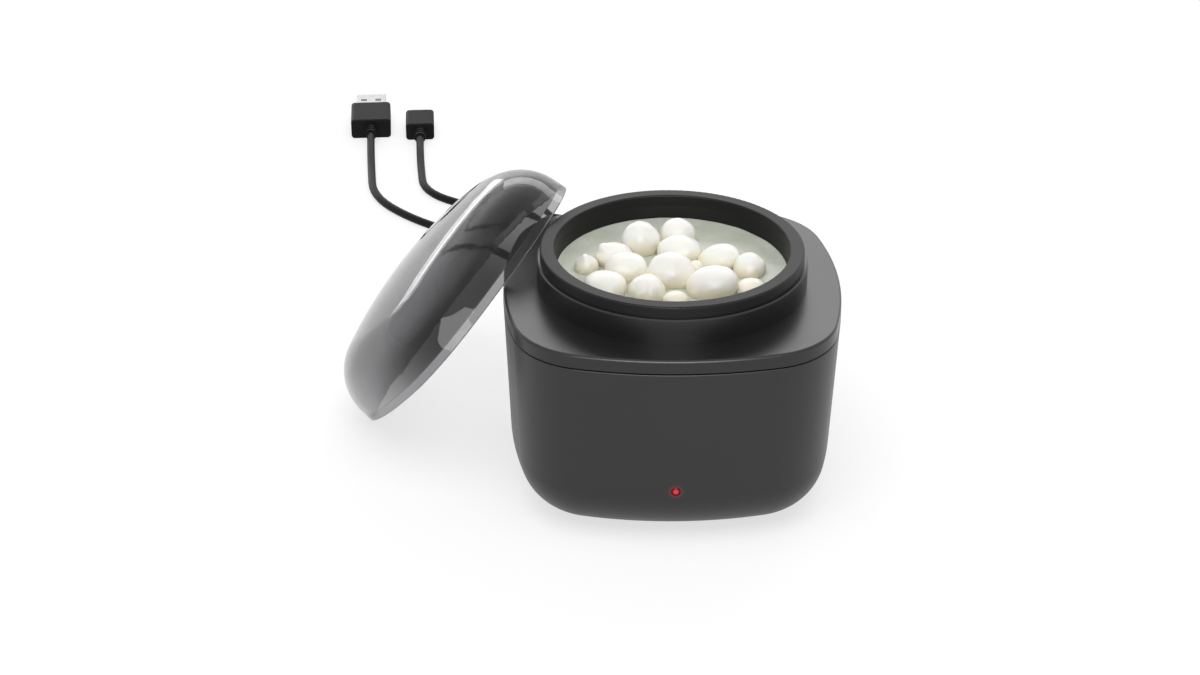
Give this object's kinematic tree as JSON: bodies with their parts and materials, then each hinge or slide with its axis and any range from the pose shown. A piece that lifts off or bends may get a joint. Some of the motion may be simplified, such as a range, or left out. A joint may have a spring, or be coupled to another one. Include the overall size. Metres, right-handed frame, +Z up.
{
  "type": "wax warmer pot",
  "caption": "Small USB wax warmer: squircle charcoal housing, lift-out heated pot with melting wax beads, smoky domed lid leant against it and a coiled USB lead.",
  "frame": {"origin": "centre of the foot ring's underside, on the surface that the warmer stands on", "axes": "+Z up, -Y towards the front with the indicator light, +X to the right seen from the front"},
  "size_m": [0.1676, 0.3264, 0.0822],
  "materials": {
    "housing_plastic": "satin moulded plastic",
    "deck_plastic": "satin moulded plastic, a little smoother than the housing",
    "pot_coating": "dark non-stick coating on spun aluminium",
    "wax_melt": "milky softened wax",
    "wax_bead": "ivory wax, waxy sheen",
    "well_aluminium": "plain spun",
    "soft_silicone": "matt silicone",
    "screw_steel": "zinc plated",
    "heater_film": "amber film with printed track",
    "felt": "white heat felt",
    "sensor_epoxy": "potted bead",
    "fuse_case": "plain drawn case",
    "circuit_board": "green solder mask",
    "component_plastic": "moulded components",
    "connector_steel": "bright nickel plated",
    "lamp_red": "clear red",
    "wire_sleeve": "silicone sleeve",
    "smoky_plastic": "smoky see-through moulding",
    "cord_jacket": "matt jacket",
    "plug_mould": "fine moulded grain",
    "plug_insulator": "moulded insulator",
    "contact_gold": "gold flash",
    "tie_strap": "soft strap"
  },
  "bodies": {
    "base": {"lower_housing": "housing_plastic", "top_deck": "deck_plastic", "heater_well": "well_aluminium", "clamp_plate": "well_aluminium", "foot_ring": "soft_silicone", "screw_plugs": "soft_silicone", "well_gasket": "soft_silicone", "housing_screws": "screw_steel", "flange_screws": "screw_steel", "board_screws": "screw_steel", "clamp_nut": "screw_steel", "fuse_clip": "screw_steel", "heater_film": "heater_film", "felt_disc": "felt", "temperature_sensor": "sensor_epoxy", "thermal_fuse": "fuse_case", "control_board": "circuit_board", "board_components": "component_plastic", "usb_socket": "connector_steel", "usb_a_shell": "connector_steel", "micro_usb_shell": "connector_steel", "led_lens": "lamp_red", "indicator_led": "lamp_red", "heater_leads": "wire_sleeve", "sensor_leads": "wire_sleeve", "cable_coil": "cord_jacket", "cable_from_usb_a": "cord_jacket", "cable_from_micro_usb": "cord_jacket", "usb_a_overmould": "plug_mould", "usb_a_strain_relief": "plug_mould", "micro_usb_overmould": "plug_mould", "micro_usb_strain_relief": "plug_mould", "usb_a_tongue": "plug_insulator", "micro_usb_tongue": "plug_insulator", "usb_a_contacts": "contact_gold", "cable_tie": "tie_strap"},
    "pot": {"inner_pot": "pot_coating", "wax_pool": "wax_melt", "wax_beads": "wax_bead"},
    "lid": {"lid": "smoky_plastic"}
  },
  "joints": [
    {"name": "pot_lift", "type": "slide", "parent": "base", "child": "pot", "axis": [0, 0, 1], "range_m": [0, 0.05]},
    {"name": "lid_lift", "type": "slide", "parent": "base", "child": "lid", "axis": [-0.7698, 0.1685, 0.6157], "range_m": [0, 0.08]}
  ]
}
